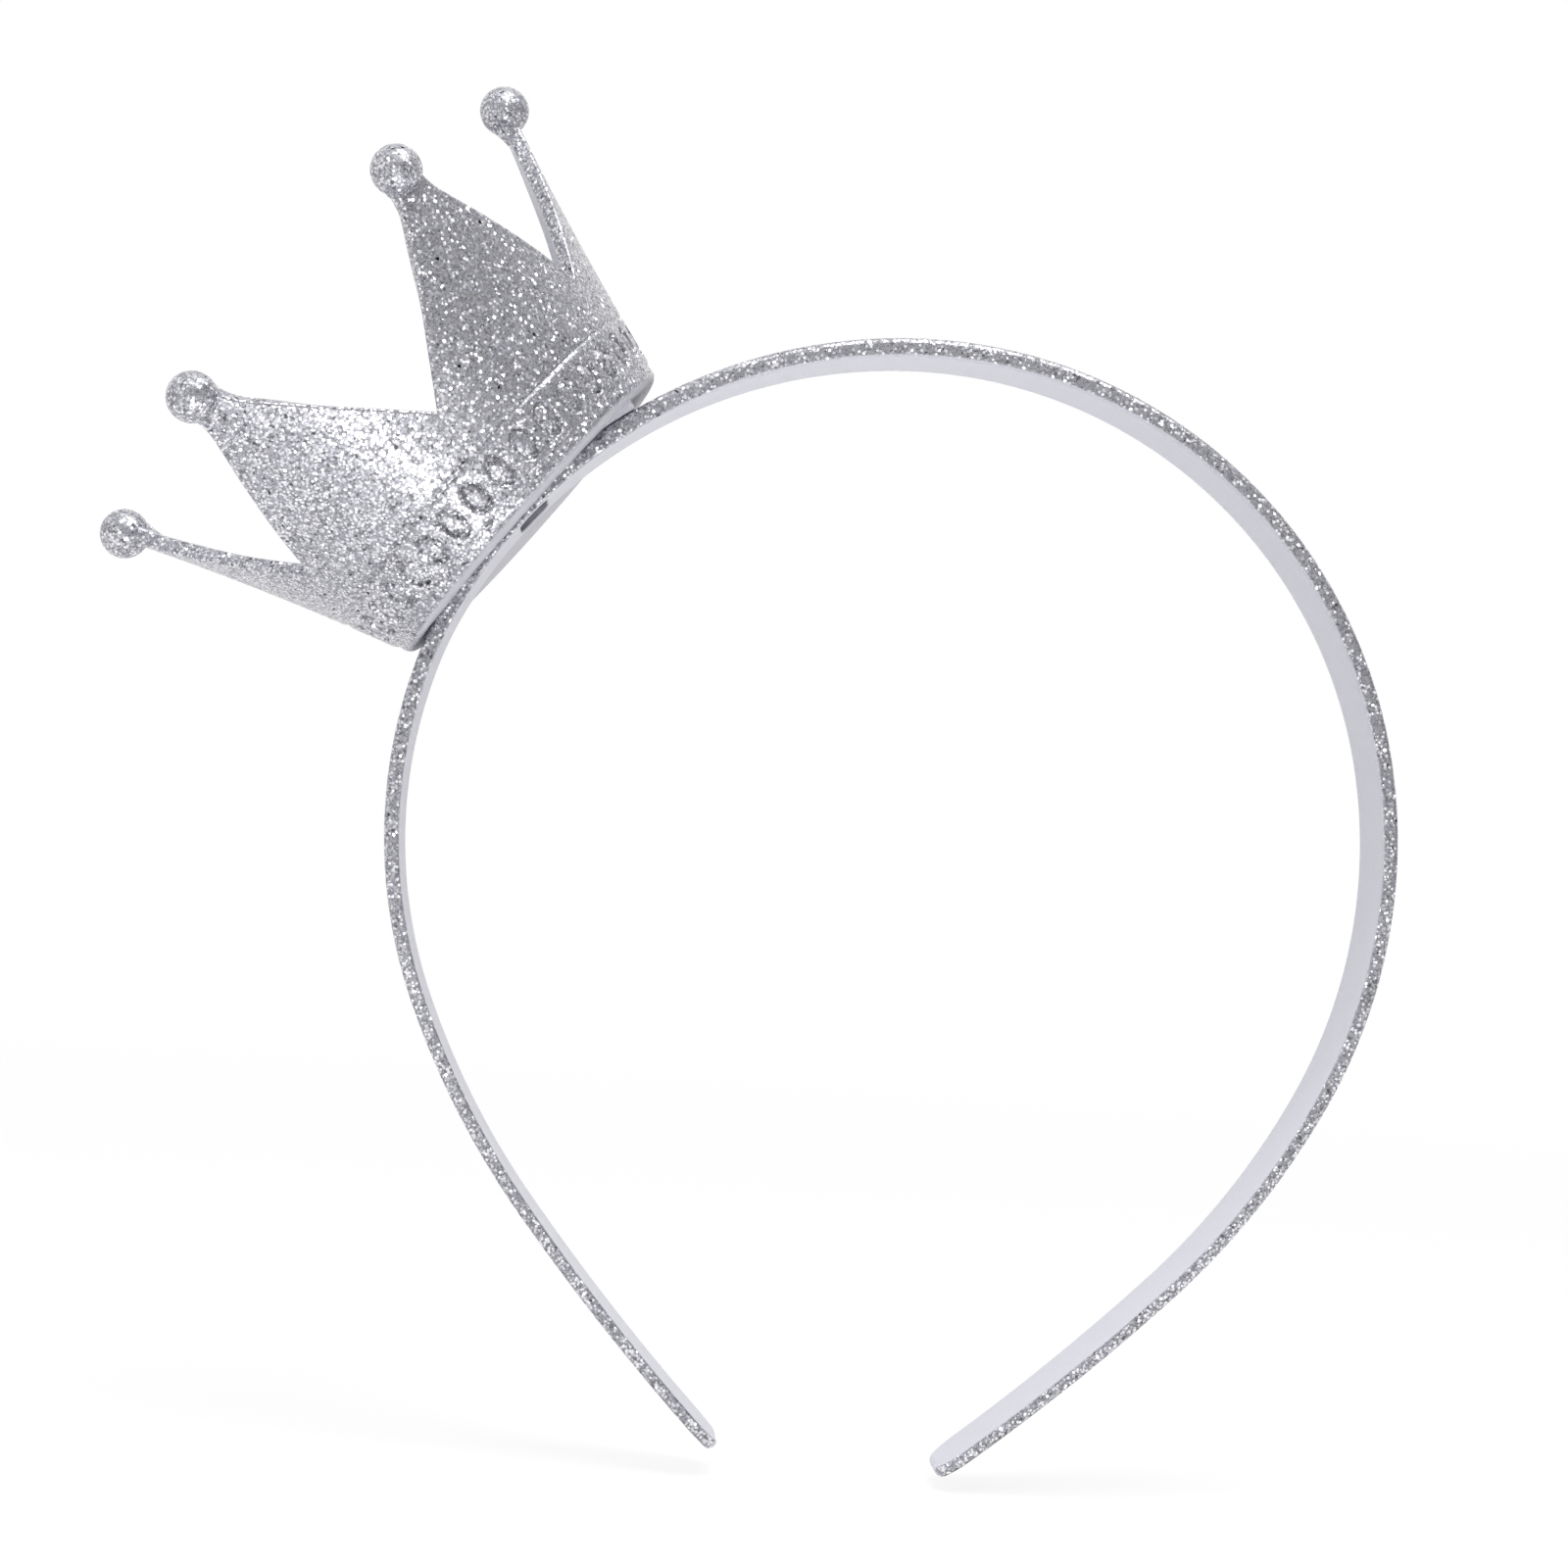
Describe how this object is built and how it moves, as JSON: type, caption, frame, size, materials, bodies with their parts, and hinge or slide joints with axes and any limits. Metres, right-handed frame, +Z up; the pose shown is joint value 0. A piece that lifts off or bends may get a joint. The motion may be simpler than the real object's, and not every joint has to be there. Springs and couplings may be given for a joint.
{
  "type": "crown headband",
  "caption": "Rigid rounded headband with inward-curving tapered tips and a small flared crown of ball-tipped points seated off-centre on its outer side, all in a silver glitter coat.",
  "frame": {"origin": "centre of the head space inside the band, halfway across the band's width", "axes": "+X to the right as seen from the front, away from the crown; +Y across the band's width, away from the viewer; +Z up, towards the top of the head"},
  "size_m": [0.1687, 0.0678, 0.174],
  "materials": {
    "band_glitter": "silver glitter coat outside, smooth pale grey inside",
    "crown_glitter": "silver glitter coat",
    "adhesive": "clear set adhesive"
  },
  "bodies": {
    "root": {"headband": "band_glitter", "crown": "crown_glitter", "adhesive_bed": "adhesive"}
  },
  "joints": []
}
